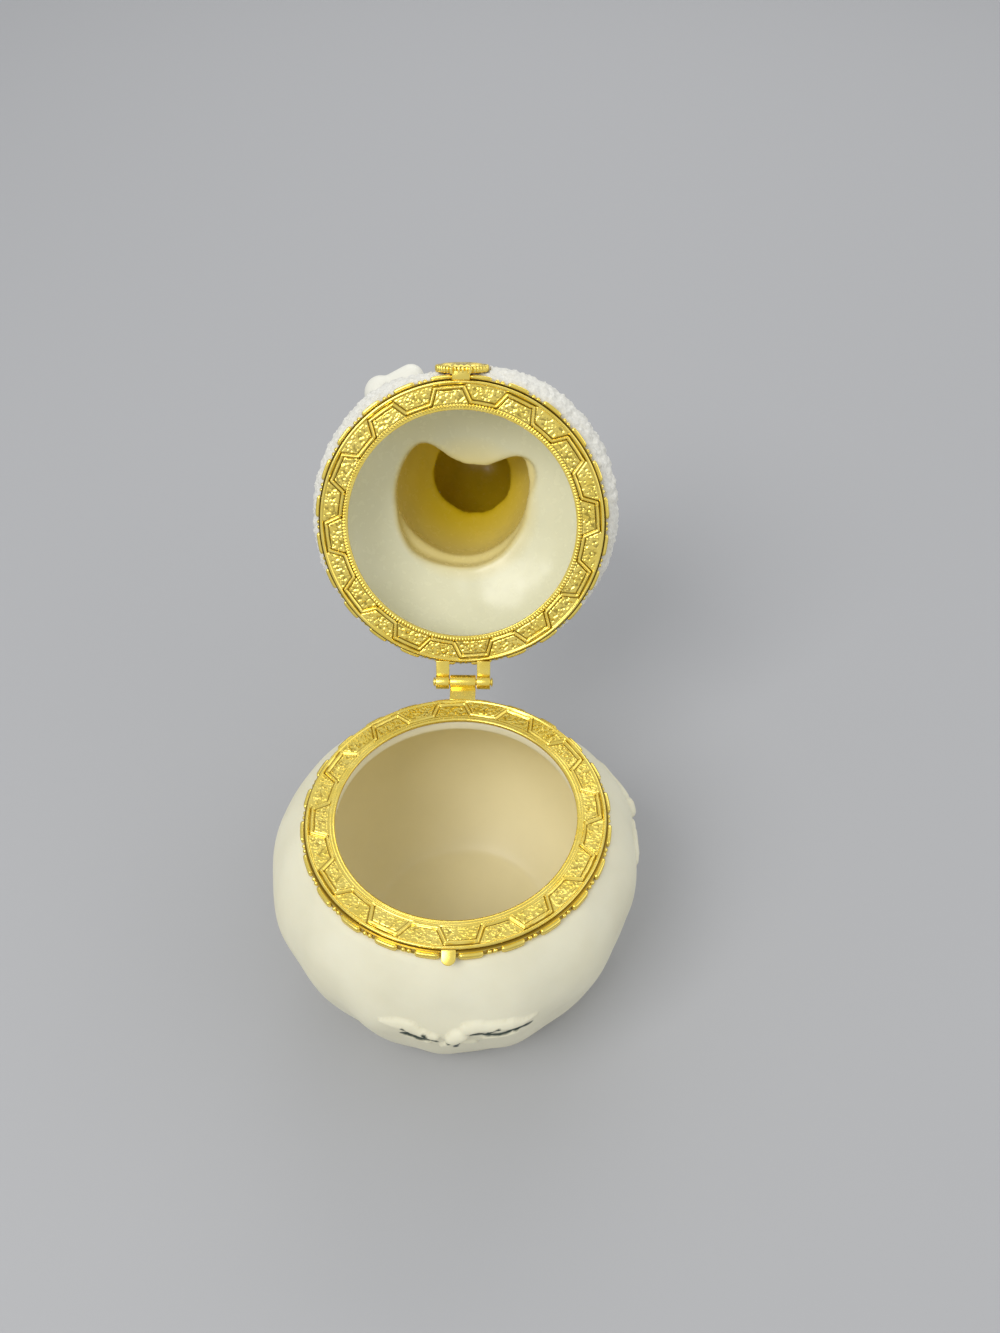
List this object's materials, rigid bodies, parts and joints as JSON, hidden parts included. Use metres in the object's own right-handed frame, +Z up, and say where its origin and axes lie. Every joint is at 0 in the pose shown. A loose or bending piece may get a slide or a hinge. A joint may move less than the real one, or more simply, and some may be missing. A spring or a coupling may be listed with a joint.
{
  "type": "hinged snowman trinket box",
  "caption": "Round porcelain pot with a hollow snowman lid, gilt rings, a rear hinge and a front clasp, standing open.",
  "frame": {"origin": "centre of the pot's underside", "axes": "+Z up, the front and its clasp towards -Y, the hinge at the back towards +Y and along X"},
  "size_m": [0.0938, 0.1797, 0.132],
  "materials": {
    "porcelain": "bisque porcelain with painted sprigs",
    "snow_porcelain": "rough white snow over porcelain",
    "pot_ring_gilt": "gilt, chased",
    "lid_ring_gilt": "gilt, chased",
    "hinge_gilt": "gilt, polished",
    "clasp_gilt": "gilt, fluted"
  },
  "bodies": {
    "pot": {"pot": "porcelain", "pot_rim": "pot_ring_gilt", "pot_hinge_leaf": "hinge_gilt", "pot_latch_tab": "hinge_gilt", "hinge_pin": "hinge_gilt"},
    "lid": {"lid": "snow_porcelain", "lid_rim": "lid_ring_gilt", "lid_hinge_knuckle_left": "hinge_gilt", "lid_hinge_knuckle_right": "hinge_gilt", "clasp_medallion": "clasp_gilt"}
  },
  "joints": [
    {"name": "lid_hinge", "type": "hinge", "parent": "pot", "child": "lid", "pos_m": [0, 0.0415, 0.06035], "axis": [1, 0, 0], "range_deg": [0, 118.3]}
  ]
}
